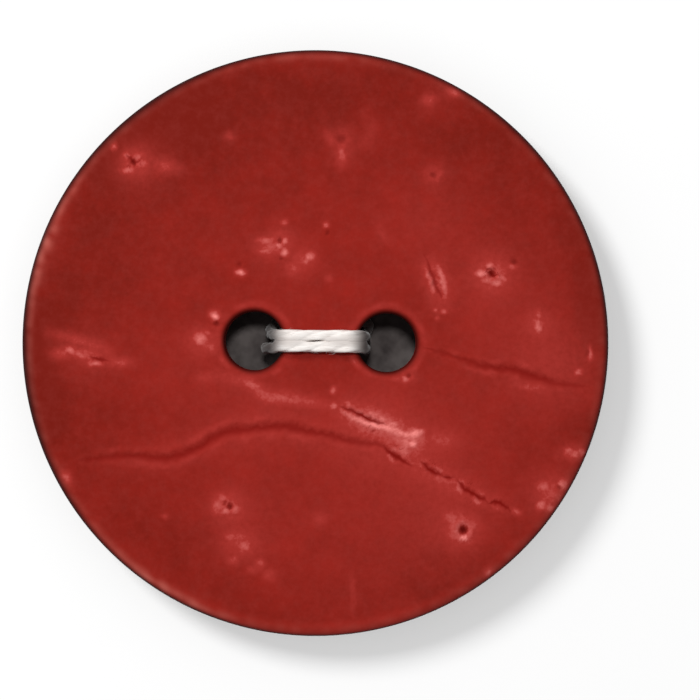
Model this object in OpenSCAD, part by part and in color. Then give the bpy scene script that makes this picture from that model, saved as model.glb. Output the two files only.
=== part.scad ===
/* [Button] */
// Diameter of the button
button_d = 28; // [23:0.5:34]
// Height from the rim that it rests on to the middle of the face
button_h = 3.2; // [3:0.1:4.2]
// Rise of the domed face from its edge to its middle
dome_rise = 0.55; // [0.3:0.05:0.8]
// Depth of the hollow back at its middle
hollow_depth = 1.4; // [1.3:0.1:1.6]
// Width of the flat rim round the hollow
rim_w = 1.6; // [1:0.1:2.4]
// Rounding between the face and the side
face_round = 0.6; // [0.4:0.05:0.8]
// Rounding between the side and the rim
rim_round = 0.5; // [0.3:0.05:0.7]

/* [Sewing holes] */
// Diameter of each hole
hole_d = 2.8; // [2.6:0.1:3.2]
// Distance between the middles of the two holes
hole_pitch = 6.3; // [6:0.1:7]
// Rounding of each hole's lip, on the face and on the back
lip_round = 0.25; // [0.15:0.05:0.3]
// Distance of the pair of holes to the right of the button's middle
pair_shift = 0.25; // [0:0.05:0.5]
// Distance of the pair of holes above the button's middle
pair_rise = 0.06; // [-0.3:0.02:0.3]
// Turn of the line through both holes, in degrees
pair_turn = -0.8; // [-3:0.1:3]

/* [Thread] */
// Thickness of the sewing thread
thread_d = 0.54; // [0.4:0.02:0.56]

/* [Natural marks] */
// Width of the long cracks at the face
crack_w = 0.36; // [0.2:0.02:0.5]
// Depth of the long cracks
crack_depth = 0.22; // [0.1:0.02:0.3]
// Share of a pit's drawn depth that is cut
pit_share = 1; // [0.5:0.1:1.2]

/* [Hidden] */

red_coat = "#96281f";
white_cotton = "#efeae2";

// Facets of the small round forms and of the wide dome and hollow
round_fn = 64;
wide_fn = 240;
// How far a cutter runs past the face that it opens
past = 0.4;
// The side's rounding stands this much proud of the dome, which trims it
round_proud = 0.02;

button_r = button_d / 2;
face_reach = button_r - face_round;
dome_r = (face_reach ^ 2 + dome_rise ^ 2) / (2 * dome_rise);
hollow_reach = button_r - rim_round - rim_w;
hollow_r = (hollow_reach ^ 2 + hollow_depth ^ 2) / (2 * hollow_depth);
shoulder_z = button_h - dome_rise - face_round + round_proud;
hole_r = hole_d / 2;
hole_x = hole_pitch / 2;

// Height of the domed face and of the hollow back over a point of the plan
function face_z(p) = button_h - dome_r + sqrt(dome_r ^ 2 - p.x ^ 2 - p.y ^ 2);
function back_z(p) = hollow_depth - hollow_r + sqrt(hollow_r ^ 2 - p.x ^ 2 - p.y ^ 2);

// Natural marks, as they lie on a 28 mm face
marks_scale = button_d / 28;

// The long wavy crack below the holes, and the broken dashes that carry it on to the right
long_crack = [
    [-10.7, -5.5], [-9.4, -5.4], [-8.2, -5.4], [-7.1, -5.5], [-6.1, -5.2], [-5.4, -4.9], [-4.8, -4.5],
    [-4, -4.2], [-3, -4.1], [-2.3, -4], [-1.2, -4], [-0.4, -4.2], [0.7, -4.4], [1.8, -4.7], [2.5, -4.8],
    [3.2, -4.9], [3.8, -5.4], [4.5, -5.8]
];
crack_dashes = [
    [[5.1, -5.7], [5.5, -6.1], [6, -6.3]],
    [[6.8, -6.6], [7.2, -7], [7.7, -7.3], [8.1, -7.5]],
    [[8.4, -7.6], [8.8, -7.6], [9.2, -7.9]]
];
// The crack that runs from the right hole to the right edge
right_crack = [
    [5.4, -0.3], [6.4, -0.6], [7.6, -1], [8.6, -1.2], [9.7, -1.4], [10.8, -1.7], [11.3, -1.9], [12.7, -2.1]
];
// Short slits: upright above the right crack, slanting under the stitch, and by the left edge
slits = [
    [[5.4, 3.7], [5.6, 3.2], [5.8, 2.6], [6, 2.1]],
    [[1.3, -3.1], [1.8, -3.2], [2.3, -3.5], [3, -3.7]],
    [[-11.6, -0.3], [-11.1, -0.6], [-10.5, -0.8], [-9.9, -0.8]]
];
dash_w = 0.24;
dash_depth = 0.16;
slit_w = 0.26;
slit_depth = 0.18;

// Pits: place across the face, width and depth
pits = [
    [-8.6, 8.5, 0.5, 0.16], [-8.9, 8.9, 0.36, 0.1], [8.4, 3.2, 0.62, 0.2], [7, -8.9, 0.46, 0.2],
    [-4.1, -7.7, 0.42, 0.14], [-1.6, 4.8, 0.44, 0.12], [1.2, 9.7, 0.4, 0.1], [4.4, -1.6, 0.32, 0.1],
    [9.4, 3.9, 0.26, 0.08], [11.6, -6.8, 0.34, 0.1]
];

// Room between a strand and what it lies on, and between neighbouring strands
thread_gap = 0.02;
// More room under the back, which falls away from its middle, and round a lip, where a strand bends
back_room = 0.05;
lip_room = 0.03;
thread_r = thread_d / 2;
thread_sides = 8;
lay = thread_r + thread_gap;
side = thread_r + thread_gap / 2;
on_face = button_h + lay;
on_back = hollow_depth - lay - back_room;
mid_bore = (button_h + hollow_depth) / 2;
face_lip = button_h - lip_round;
back_lip = hollow_depth + lip_round;
// Reach of a strand round a lip, and its place beside the bore's inner wall
lip_reach = lip_round + lay + lip_room;
bore_x = hole_x - hole_r - lip_round + lip_room + lip_reach;

// The knot on the back: its middle across the holes' line, its upper layer and the step to its lower layer
knot_y = 1.35;
knot_room = 0.08;
knot_z = hollow_depth - lay - knot_room;
knot_step = thread_d + 1.5 * knot_room;
// One side of the reef knot, from its standing part round its bight to its tail:
// along and across the holes' line, then the layer, 0 against the back and 1 below
knot_bight = [
    [-2, -0.33, 0.9], [-1.6, -0.29, 1], [-1.1, -0.31, 0.85], [-0.6, -0.42, 0.25], [0, -0.66, 0],
    [0.6, -0.92, 0.25], [1, -1, 0.8], [1.35, -0.8, 1], [1.6, -0.35, 1], [1.6, 0.35, 1], [1.35, 0.8, 1],
    [1, 1, 0.8], [0.6, 0.92, 0.25], [0, 0.66, 0], [-0.6, 0.42, 0.25], [-1.1, 0.31, 0.85], [-1.6, 0.29, 1],
    [-2.2, 0.34, 0.8], [-2.8, 0.5, 0.5], [-3.3, 0.75, 0.3]
];
left_bight = [for (p = knot_bight) [p.x, knot_y + p.y, knot_z - knot_step * p.z]];
right_bight = [for (p = knot_bight) [-p.x, knot_y + p.y, knot_z - knot_step * (1 - p.z)]];

// A strand's place on the round of a hole's lip, at an angle up from level: end is 1 at the right hole, -1 at
// the left one
function over_lip(end, y, angle) =
    [end * (bore_x - lip_reach * (1 - cos(angle))), y, face_lip + lip_reach * sin(angle)];

// One pass over the face at a given place across: out of the left hole with some slack, and tight round the
// right hole's lip
function face_pass(y, slack) = concat(
    [
        [-bore_x - slack, y * (1 + slack / 2), mid_bore - 0.1],
        [-bore_x - slack * 0.4, y * (1 + slack / 4), face_lip - 0.05]
    ],
    [for (angle = [50, 80]) over_lip(-1, y, angle)],
    [[0, y, on_face]],
    [for (angle = [80, 50, 20]) over_lip(1, y, angle)],
    [[bore_x, y, mid_bore + 0.3], [bore_x, y, back_lip]]
);

// The whole thread: tail, knot, up the left hole, over the face, down the right hole, back along the
// hollow side, up and over once more, down the right hole, under itself to the knot, and its other tail
thread_route = concat(
    [for (i = [len(left_bight) - 1 : -1 : 0]) left_bight[i]],
    [[-2.3, 0.7, 0.8], [-2.4, 0.45, back_lip - 0.25], [-2.36, 0.34, back_lip + 0.15]],
    face_pass(side, 0.2),
    [
        [bore_x - 0.05, side, back_lip - 0.35], [bore_x - 0.2, 0.26, on_back + 0.04], [1.5, 0.15, on_back],
        [1.05, -0.02, on_back], [0.6, -0.16, on_back], [0, -side, on_back], [0.6 - bore_x, -side, on_back],
        [0.2 - bore_x, -side, on_back + 0.04], [-bore_x - 0.1, -side, back_lip - 0.33],
        [-bore_x - 0.42, -0.36, back_lip]
    ],
    face_pass(-side, 0.5),
    [
        [bore_x + 0.02, -0.34, 1.2], [bore_x + 0.04, -0.34, 0.85], [bore_x + 0.04, -0.1, 0.5],
        [bore_x + 0.06, 0.32, 0.42], [bore_x + 0.15, 0.7, 0.54], [bore_x + 0.14, 0.95, 0.8]
    ],
    right_bight
);

// Unit direction of a route at one of its points
function heading(path, i) =
    let (step = path[min(i + 1, len(path) - 1)] - path[max(i - 1, 0)])
    step / norm(step);

// A direction turned the least that leaves it square to a new heading
function squared(v, along) =
    let (w = v - (v * along) * along)
    w / norm(w);

// Rings of a tube: each ring's first direction is the last one, squared to the new heading
function ring_starts(path) = [
    for (
        i = 0, v = squared([0, 0, 1], heading(path, 0));
        i < len(path);
        i = i + 1, v = i < len(path) ? squared(v, heading(path, i)) : v
    ) v
];

// A solid tube swept along a route, closed at both ends
module tube(path, radius, sides) {
    starts = ring_starts(path);
    last = len(path) - 1;
    points = [
        for (i = [0 : last])
        let (a = starts[i], b = cross(heading(path, i), a))
        for (k = [0 : sides - 1])
        path[i] + radius * (cos((k + 0.5) * 360 / sides) * a + sin((k + 0.5) * 360 / sides) * b)
    ];
    walls = [
        for (i = [0 : last - 1], k = [0 : sides - 1])
        let (n = (k + 1) % sides, here = i * sides, next = here + sides)
        each [[here + k, next + k, next + n], [here + k, next + n, here + n]]
    ];
    ends = [[for (k = [0 : sides - 1]) k], [for (k = [sides - 1 : -1 : 0]) last * sides + k]];
    polyhedron(points = points, faces = concat(walls, ends));
}

// Depth and width fade to this share at a crack's two ends
crack_tip = 0.3;

function swell(i, last) = crack_tip + (1 - crack_tip) * sqrt(sin(180 * i / last));

// A groove of V section let into the domed face along a route
module groove(route, width, depth) {
    path = [for (p = route) p * marks_scale];
    last = len(path) - 1;
    points = [
        for (i = [0 : last])
        let (
            p = path[i], h = heading(path, i), top = face_z(p) + past, cut = depth * swell(i, last),
            half = width / 2 * swell(i, last) * (cut + past) / cut, reach = half * [-h.y, h.x]
        )
        each [
            [p.x + reach.x, p.y + reach.y, top],
            [p.x, p.y, face_z(p) - cut],
            [p.x - reach.x, p.y - reach.y, top]
        ]
    ];
    walls = [
        for (i = [0 : last - 1], k = [0 : 2])
        let (n = (k + 1) % 3, here = 3 * i, next = here + 3)
        each [[here + k, next + k, next + n], [here + k, next + n, here + n]]
    ];
    polyhedron(points = points, faces = concat(walls, [[0, 1, 2], [3 * last + 2, 3 * last + 1, 3 * last]]));
}

// A round dimple let into the domed face
module pit(x, y, width, depth) {
    ball_r = (width ^ 2 / 4 + depth ^ 2) / (2 * depth);
    place = [x, y] * marks_scale;
    translate([place.x, place.y, face_z(place) + ball_r - depth]) sphere(ball_r, $fn = round_fn);
}

// Places the pair of holes and the thread that passes through them
module on_pair() {
    translate([pair_shift, pair_rise, 0]) rotate([0, 0, pair_turn]) children();
}

// Half of the button's section: domed above, rounded at the side, hollow below
module section() {
    difference() {
        intersection() {
            union() {
                square([face_reach, button_h]);
                square([button_r - rim_round, shoulder_z]);
                translate([0, rim_round]) square([button_r, shoulder_z - rim_round]);
                translate([face_reach, shoulder_z]) circle(face_round, $fn = round_fn);
                translate([button_r - rim_round, rim_round]) circle(rim_round, $fn = round_fn);
            }
            translate([0, button_h - dome_r]) circle(dome_r, $fn = wide_fn);
        }
        translate([0, hollow_depth - hollow_r]) circle(hollow_r, $fn = wide_fn);
    }
}

// A hole's mouths start this far outside the face and the back, which slope across the hole
mouth_room = 0.04;

// Half of a hole's section: a straight bore that opens round a lip at the face and at the back
module hole_section(face, back) {
    square([hole_r, button_h + past]);
    for (mouth = [[face + mouth_room, 1], [back - mouth_room, -1]])
        translate([0, mouth[0]]) scale([1, mouth[1]])
            difference() {
                translate([0, -lip_round]) square([hole_r + lip_round, lip_round + past]);
                translate([hole_r + lip_round, -lip_round]) circle(lip_round, $fn = round_fn);
            }
}

module holes() {
    face = face_z([hole_x, 0]);
    back = back_z([hole_x, 0]);
    on_pair()
        for (x = [-hole_x, hole_x])
            translate([x, 0, 0]) rotate_extrude($fn = round_fn) hole_section(face, back);
}

module cracks() {
    groove(long_crack, crack_w, crack_depth);
    groove(right_crack, crack_w, crack_depth);
    for (dash = crack_dashes) groove(dash, dash_w, dash_depth);
    for (slit = slits) groove(slit, slit_w, slit_depth);
}

module button() {
    color(red_coat)
        difference() {
            rotate_extrude($fn = wide_fn) section();
            holes();
            cracks();
            for (p = pits) pit(p[0], p[1], p[2], p[3] * pit_share);
        }
}

module thread() {
    color(white_cotton) on_pair() tube(thread_route, thread_r, thread_sides);
}

button();
thread();
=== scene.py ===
import math

import bpy
import numpy as np
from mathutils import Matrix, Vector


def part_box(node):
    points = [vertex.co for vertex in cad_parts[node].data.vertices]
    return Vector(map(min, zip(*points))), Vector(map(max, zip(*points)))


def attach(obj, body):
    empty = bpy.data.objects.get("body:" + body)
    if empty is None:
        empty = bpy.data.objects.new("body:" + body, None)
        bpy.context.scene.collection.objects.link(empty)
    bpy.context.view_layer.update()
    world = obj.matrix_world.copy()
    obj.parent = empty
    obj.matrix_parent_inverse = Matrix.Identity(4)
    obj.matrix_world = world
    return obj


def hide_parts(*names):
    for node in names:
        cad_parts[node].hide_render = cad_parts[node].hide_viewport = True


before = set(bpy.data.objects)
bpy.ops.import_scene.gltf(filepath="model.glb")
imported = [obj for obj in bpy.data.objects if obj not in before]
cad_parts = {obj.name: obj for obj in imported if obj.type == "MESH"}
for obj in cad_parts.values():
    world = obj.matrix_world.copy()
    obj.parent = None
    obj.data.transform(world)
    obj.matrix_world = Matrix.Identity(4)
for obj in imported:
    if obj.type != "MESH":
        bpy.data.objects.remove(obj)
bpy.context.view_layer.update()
mm = 0.001
print("frame loaded:", sorted(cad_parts))

buttonLow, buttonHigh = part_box("button")

# The button's form in millimetres, as the solid has it
button = {
    "radius": (buttonHigh.x - buttonLow.x) / 2 / mm,
    "height": buttonHigh.z / mm,
    "domeRise": 0.55,
    "hollowDepth": 1.4,
    "rimWidth": 1.6,
    "faceRound": 0.6,
    "rimRound": 0.5,
    "holeRadius": 1.4,
    "holeApart": 6.3,
    "lipRound": 0.25,
    "pairShift": 0.25,
    "pairRise": 0.06,
    "pairTurn": -0.8,
}

# Steps of the button's surface grid
grid = {
    "line": 100,       # along the bridge between the holes
    "arc": 200,        # round the outer half of a hole
    "bridge": 56,      # across the bridge
    "face": 104,       # from the holes out to the edge
    "lip": 6,
    "bore": 6,
    "edge": 9,
    "side": 3,
    "rim": 5,
    "back": 8,
}

faceReach = button["radius"] - button["faceRound"]
domeRadius = (faceReach ** 2 + button["domeRise"] ** 2) / (2 * button["domeRise"])
hollowReach = button["radius"] - button["rimRound"] - button["rimWidth"]
hollowRadius = (hollowReach ** 2 + button["hollowDepth"] ** 2) / (2 * button["hollowDepth"])


# General curve and field helpers

def smoothLine(points, perSpan):
    # Centripetal Catmull-Rom curve: each span is a cubic from b to c, with slopes there that weigh the spans
    # on either side by the square roots of their lengths
    p = np.asarray(points, float)
    p = np.vstack([2 * p[0] - p[1], p, 2 * p[-1] - p[-2]])
    step = np.sqrt(np.linalg.norm(np.diff(p, axis=0), axis=1))[:, None]
    slope = np.diff(p, axis=0) / step
    pace = slope[:-1] + slope[1:] - (p[2:] - p[:-2]) / (step[:-1] + step[1:])
    b, c = p[1:-2], p[2:-1]
    start, end = pace[:-1] * step[1:-1], pace[1:] * step[1:-1]
    t = np.linspace(0, 1, perSpan, endpoint=False)[:, None, None]
    q = b + start * t + (3 * (c - b) - 2 * start - end) * t ** 2 + (2 * (b - c) + start + end) * t ** 3
    return np.vstack([q.transpose(1, 0, 2).reshape(-1, p.shape[1]), p[-2]])


def waves(plan, seed, shortest, longest, count=24):
    # Smooth random field of about unit spread: a sum of plane waves with seeded headings, lengths and phases
    rng = np.random.default_rng(seed)
    heading = rng.uniform(0, 2 * np.pi, count)
    k = 2 * np.pi / rng.uniform(shortest, longest, count)
    phase = rng.uniform(0, 2 * np.pi, count)
    turns = np.outer(plan[:, 0], k * np.cos(heading)) + np.outer(plan[:, 1], k * np.sin(heading)) + phase
    return np.cos(turns).sum(1) / math.sqrt(count / 2)


def nearLine(plan, route, reach, perSpan=10):
    # For the points within reach of a route: index, signed distance across it, share of the way along it,
    # and distance past its ends
    line = smoothLine(route, perSpan)
    low, high = line.min(0) - reach, line.max(0) + reach
    near = np.flatnonzero(((plan > low) & (plan < high)).all(1))
    along = np.gradient(line, axis=0)
    along /= np.linalg.norm(along, axis=1)[:, None]
    station = ((plan[near, None, :] - line[None, :, :]) ** 2).sum(2).argmin(1)
    off = plan[near] - line[station]
    across = off[:, 1] * along[station, 0] - off[:, 0] * along[station, 1]
    past = np.abs((off * along[station]).sum(1))
    past = np.where((station == 0) | (station == len(line) - 1), past, 0)
    return near, across, station / (len(line) - 1), past


def fade(value, start, end):
    # Smooth step from 0 at start to 1 at end
    t = np.clip((value - start) / (end - start), 0, 1)
    return t * t * (3 - 2 * t)


# Natural marks of the face, in millimetres from its middle, x to the right and y up.
# Cracks: route, half width, depth, height of the lips beside it, share of the colour that darkens, and share
# of the width that is left at the ends. Some have paler lips, by glow, and a lean over 1 puts the widest
# place past the middle
cracks = [
    {"route": [(-11.2, -5.6), (-10.2, -5.5), (-9.4, -5.4), (-8.2, -5.4), (-7.1, -5.5), (-6.1, -5.2),
               (-5.4, -4.9), (-4.8, -4.5), (-4.0, -4.2), (-3.0, -4.1), (-2.3, -4.0), (-1.2, -4.0),
               (-0.4, -4.2), (0.7, -4.4), (1.8, -4.7), (2.5, -4.8), (3.2, -4.9), (3.6, -5.2)],
     "half": 0.21, "depth": 0.06, "lip": 0.022, "dark": 0.75, "tip": 0.3, "glow": 0.14},
    {"route": [(3.3, -4.95), (3.6, -5.2), (4.0, -5.5), (4.5, -5.8)],
     "half": 0.12, "depth": 0.05, "lip": 0.02, "dark": 1.0, "tip": 0.5, "glow": 0.24},
    {"route": [(5.1, -5.7), (5.5, -6.05), (6.0, -6.3)],
     "half": 0.12, "depth": 0.05, "lip": 0.02, "dark": 1.0, "tip": 0.5, "glow": 0.34},
    {"route": [(6.15, -6.37), (6.5, -6.38)],
     "half": 0.09, "depth": 0.04, "lip": 0.01, "dark": 0.9, "tip": 0.6, "glow": 0.2},
    {"route": [(6.8, -6.6), (7.2, -7.0), (7.7, -7.27), (8.1, -7.48)],
     "half": 0.12, "depth": 0.05, "lip": 0.02, "dark": 1.0, "tip": 0.5, "glow": 0.34},
    {"route": [(8.35, -7.62), (8.75, -7.6), (9.2, -7.92)],
     "half": 0.12, "depth": 0.05, "lip": 0.02, "dark": 1.0, "tip": 0.5, "glow": 0.24},
    {"route": [(5.3, -0.3), (6.4, -0.6), (7.6, -1.0), (8.6, -1.2), (9.5, -1.3), (10.2, -1.55),
               (10.8, -1.7), (11.3, -1.9), (12.9, -2.1)],
     "half": 0.19, "depth": 0.06, "lip": 0.016, "dark": 0.75, "tip": 0.25, "glow": 0.15, "lean": 1.5},
    {"route": [(5.2, 4.1), (5.42, 3.6), (5.6, 3.1), (5.8, 2.6), (6.0, 2.1)],
     "half": 0.1, "depth": 0.06, "lip": 0.035, "dark": 0.75, "tip": 0.25, "lean": 1.4},
    {"route": [(1.25, -3.02), (1.8, -3.24), (2.3, -3.52), (2.9, -3.72), (3.3, -3.85)],
     "half": 0.1, "depth": 0.06, "lip": 0.03, "dark": 1.0, "tip": 0.3},
    {"route": [(-10.65, -0.7), (-10.3, -0.78), (-9.9, -0.84)],
     "half": 0.09, "depth": 0.04, "lip": 0.02, "dark": 0.9, "tip": 0.5},
    {"route": [(8.1, 3.55), (8.4, 3.3), (8.75, 3.05)],
     "half": 0.1, "depth": 0.06, "lip": 0.01, "dark": 0.95, "tip": 0.3},
    {"route": [(8.28, 3.0), (8.42, 3.28), (8.6, 3.55)],
     "half": 0.09, "depth": 0.05, "lip": 0.01, "dark": 0.85, "tip": 0.2},
    {"route": [(-8.95, 8.95), (-8.7, 8.68), (-8.35, 8.5)],
     "half": 0.1, "depth": 0.05, "lip": 0.01, "dark": 0.85, "tip": 0.3},
    {"route": [(-8.75, 8.35), (-8.6, 8.6), (-8.4, 8.8)],
     "half": 0.09, "depth": 0.04, "lip": 0.01, "dark": 0.75, "tip": 0.2},
]

# Pits: x, y, radius, depth, share of the colour that darkens, radius of the paler halo
pits = [
    (-8.62, 8.6, 0.15, 0.08, 0.5, 0.75), (8.42, 3.28, 0.17, 0.1, 0.45, 0.8),
    (7.05, -8.88, 0.23, 0.16, 0.95, 0.8), (-4.05, -7.75, 0.16, 0.09, 0.65, 0.8),
    (-4.3, -7.6, 0.1, 0.05, 0.3, 0.0), (-1.65, 4.87, 0.13, 0.07, 0.45, 0.6),
    (-1.6, 4.02, 0.1, 0.04, 0.4, 0.0), (1.25, 9.7, 0.24, 0.05, 0.3, 0.6), (5.6, 8.0, 0.16, 0.05, 0.35, 0.5),
    (4.45, -1.55, 0.12, 0.05, 0.4, 0.35), (9.45, 3.85, 0.16, 0.05, 0.4, 0.0),
    (11.6, -6.9, 0.13, 0.06, 0.45, 0.4), (0.58, 5.2, 0.1, 0.04, 0.45, 0.0),
    (-3.6, 3.75, 0.14, 0.03, 0.4, 0.0), (-4.7, 0.93, 0.16, 0.04, 0.55, 0.0),
    (2.75, -4.15, 0.1, 0.04, 0.35, 0.0), (13.0, -0.45, 0.1, 0.05, 0.4, 0.0),
]

# Paler spots, mostly scuffs, one a painted highlight: x, y, length, width, turn in degrees, strength
paleSpots = [
    (-8.95, 8.22, 0.42, 0.14, -5, 0.38), (-8.98, 8.92, 0.2, 0.17, 0, 0.36),
    (-8.45, 8.87, 0.2, 0.17, 0, 0.36), (-8.2, 8.55, 0.22, 0.26, 0, 0.27), (-7.1, 8.4, 0.6, 0.4, -10, 0.22),
    (-6.6, 8.3, 0.45, 0.35, 0, 0.13), (-9.57, 9.33, 0.15, 0.16, 0, 0.42), (7.88, 3.3, 0.28, 0.17, 10, 0.58),
    (8.3, 3.68, 0.22, 0.16, 0, 0.42), (8.85, 3.1, 0.24, 0.17, -30, 0.36),
    # the last spot on this line, under the pit at 7.05, -8.88, is a painted highlight of the pit's lit lower
    # wall
    (8.6, 2.86, 0.28, 0.16, -15, 0.44), (8.15, 2.95, 0.22, 0.16, 0, 0.28), (7.06, -9.29, 0.21, 0.1, 0, 1.0),
    (6.55, -8.4, 0.5, 0.3, -40, 0.22), (6.7, -9.0, 0.15, 0.25, 0, 0.32), (7.42, -8.95, 0.15, 0.28, 0, 0.28),
    (7.05, -8.9, 0.75, 0.75, 0, 0.3), (-4.4, -7.35, 0.32, 0.25, 0, 0.34),
    (-4.25, -7.98, 0.26, 0.18, 0, 0.46), (-3.8, -7.9, 0.22, 0.28, 0, 0.34),
    (-4.65, -7.75, 0.3, 0.4, 0, 0.34), (-4.15, -7.7, 0.75, 0.65, 0, 0.26),
    (-1.75, 4.63, 0.18, 0.15, 0, 0.66), (-1.47, 4.3, 0.19, 0.17, 0, 0.7), (-1.4, 4.82, 0.15, 0.15, 0, 0.55),
    (-2.35, 4.87, 0.5, 0.17, 0, 0.4), (-2.35, 4.35, 0.45, 0.15, 0, 0.38), (-2.1, 4.6, 0.8, 0.5, 0, 0.26),
    (-0.27, 4.1, 0.26, 0.23, 0, 0.62), (-0.42, 3.84, 0.2, 0.18, 0, 0.42), (-1.0, 3.55, 0.4, 0.4, 0, 0.24),
    (-0.5, 3.95, 0.6, 0.5, 0, 0.24), (-1.47, 5.73, 0.16, 0.15, 0, 0.34), (0.52, 5.6, 0.13, 0.13, 0, 0.55),
    (-3.56, 3.34, 0.2, 0.14, 0, 0.9), (-4.75, 1.3, 0.23, 0.23, 0, 0.85), (0.62, 3.06, 0.18, 0.18, 0, 0.2),
    (1.25, 8.95, 0.28, 0.6, 0, 0.38), (1.35, 9.3, 0.6, 0.8, 0, 0.17), (5.9, 8.02, 0.18, 0.22, 0, 0.28),
    (5.75, 7.75, 0.2, 0.14, 0, 0.22), (-4.07, 9.82, 0.28, 0.24, 0, 0.22), (5.4, 11.55, 0.4, 0.3, 20, 0.25),
    (6.6, 11.95, 0.32, 0.27, 20, 0.3), (10.6, 0.85, 0.13, 0.34, 0, 0.5), (10.6, 0.7, 0.16, 0.18, 0, 0.58),
    (10.62, 1.35, 0.14, 0.25, 0, 0.3), (10.6, 0.95, 0.6, 0.6, 0, 0.2), (9.35, 3.6, 0.24, 0.16, 0, 0.24),
    (13.1, -0.5, 0.09, 0.32, 0, 0.42), (12.55, -1.4, 0.15, 0.14, 0, 0.44),
    (10.1, -2.1, 0.7, 0.16, -10, 0.18), (12.05, -5.15, 0.24, 0.18, 0, 0.46),
    (12.35, -5.3, 0.24, 0.2, 0, 0.52), (12.72, -5.2, 0.24, 0.2, 0, 0.5), (12.3, -5.25, 0.7, 0.45, 0, 0.22),
    (10.85, -6.82, 0.34, 0.28, 0, 0.38), (11.8, -6.72, 0.3, 0.28, 0, 0.48),
    (10.75, -7.7, 0.26, 0.25, 0, 0.44), (11.2, -7.85, 0.25, 0.24, 0, 0.38), (11.3, -7.2, 0.9, 0.9, 0, 0.22),
    (8.25, -10.95, 0.24, 0.18, 35, 0.5), (-5.45, 0.18, 0.34, 0.32, 0, 0.6),
    (-4.95, -0.2, 0.35, 0.28, -50, 0.3), (-5.1, 0.45, 0.25, 0.2, 0, 0.3), (-5.3, 0.1, 0.8, 0.65, 0, 0.24),
    (-5.2, -1.65, 0.5, 0.28, -10, 0.16), (-3.0, -1.97, 0.6, 0.24, -22, 0.36),
    (-3.4, -9.65, 0.34, 0.32, 0, 0.32), (-4.0, -9.2, 0.34, 0.28, 0, 0.25),
    (-3.55, -9.2, 0.3, 0.25, 0, 0.24), (-3.9, -10.3, 0.34, 0.28, 0, 0.25),
    (-3.5, -9.6, 1.0, 0.75, -30, 0.19), (-2.65, -10.5, 0.28, 0.28, 0, 0.3),
    (-3.0, -10.8, 0.28, 0.24, 0, 0.2), (-2.2, -11.05, 0.3, 0.26, 0, 0.24),
    (-11.88, -6.4, 0.28, 0.33, 0, 0.4), (-7.15, -8.25, 0.15, 0.14, 0, 0.28),
    (0.2, -8.35, 0.4, 0.35, 0, 0.18), (3.55, -4.1, 0.35, 0.15, -25, 0.66),
    (4.0, -4.28, 0.3, 0.18, -15, 0.72), (4.35, -4.36, 0.28, 0.17, 0, 0.75),
    (4.72, -4.32, 0.28, 0.17, 5, 0.95), (5.0, -4.25, 0.24, 0.15, 10, 0.64),
    (4.62, -4.79, 0.2, 0.16, 0, 0.95), (4.3, -4.75, 0.32, 0.26, 0, 0.48), (4.2, -5.1, 0.36, 0.3, 0, 0.36),
    (4.5, -4.6, 0.8, 0.65, -10, 0.32), (0.88, -2.25, 0.15, 0.17, 0, 0.5), (0.88, -3.0, 0.22, 0.15, 0, 0.46),
    (1.55, -2.9, 0.22, 0.13, -20, 0.36), (2.75, -3.4, 0.3, 0.14, -20, 0.5),
    (3.2, -3.6, 0.26, 0.13, -20, 0.46), (3.7, -3.82, 0.3, 0.14, -20, 0.52),
    (6.0, -4.6, 0.85, 0.5, -5, 0.17), (4.3, -1.7, 0.22, 0.18, 0, 0.52),
    (-11.65, -0.36, 0.36, 0.16, -25, 0.48), (-11.2, -0.55, 0.35, 0.16, -30, 0.38),
    (-10.45, -0.98, 0.4, 0.15, 0, 0.46), (-9.3, -0.92, 0.65, 0.26, 0, 0.27),
    (-12.1, -0.5, 0.55, 0.28, -5, 0.25), (-10.9, -0.5, 1.2, 0.42, -18, 0.22),
    (5.74, 1.57, 0.15, 0.15, 0, 0.38), (6.1, 1.5, 0.15, 0.15, 0, 0.34), (5.8, 1.2, 0.13, 0.13, 0, 0.28),
    (9.55, -8.0, 0.25, 0.16, -20, 0.36),
]

# Pale streaks: route, half width, strength
streaks = [
    ([(-12.8, 0.5), (-11.8, 0.27), (-10.9, 0.0), (-10.1, -0.3), (-9.5, -0.7)], 0.3, 0.21),
    # painted highlight: the lit lower lip of the slit just above it
    ([(1.3, -3.26), (2.2, -3.7), (3.0, -3.93), (3.7, -4.1), (4.3, -4.33)], 0.13, 0.85),
    ([(1.0, -3.0), (2.2, -3.55), (3.3, -3.95), (4.6, -4.6)], 0.6, 0.28),
    ([(5.2, 3.7), (5.45, 2.95), (5.72, 2.1)], 0.15, 0.44),
    ([(5.75, 3.8), (5.95, 3.3), (6.13, 2.7), (6.15, 1.95)], 0.16, 0.52),
    ([(5.3, 4.0), (5.75, 2.9), (6.05, 1.5)], 0.6, 0.26),
    ([(-4.8, -1.5), (-3.0, -2.0), (-2.3, -2.5), (-1.1, -2.65), (0.0, -2.85), (0.8, -3.0)], 0.34, 0.28),
    ([(1.75, -10.8), (1.8, -12.0), (1.8, -13.0)], 0.1, 0.13),
    ([(2.9, 5.7), (3.2, 5.2), (3.5, 4.7)], 0.25, 0.12),
    ([(0.45, 10.2), (0.75, 9.65), (1.2, 9.2)], 0.27, 0.19),
    ([(1.5, 9.3), (2.3, 9.5), (2.65, 10.2), (2.3, 11.0)], 0.4, 0.11),
    ([(3.4, -4.9), (5.0, -5.8), (7.0, -6.9), (9.4, -7.9)], 0.55, 0.14),
    ([(-10.6, -5.5), (-7.4, -5.4), (-4.8, -4.5), (-1.6, -4.0), (3.2, -4.9)], 0.8, 0.1),
]

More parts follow.
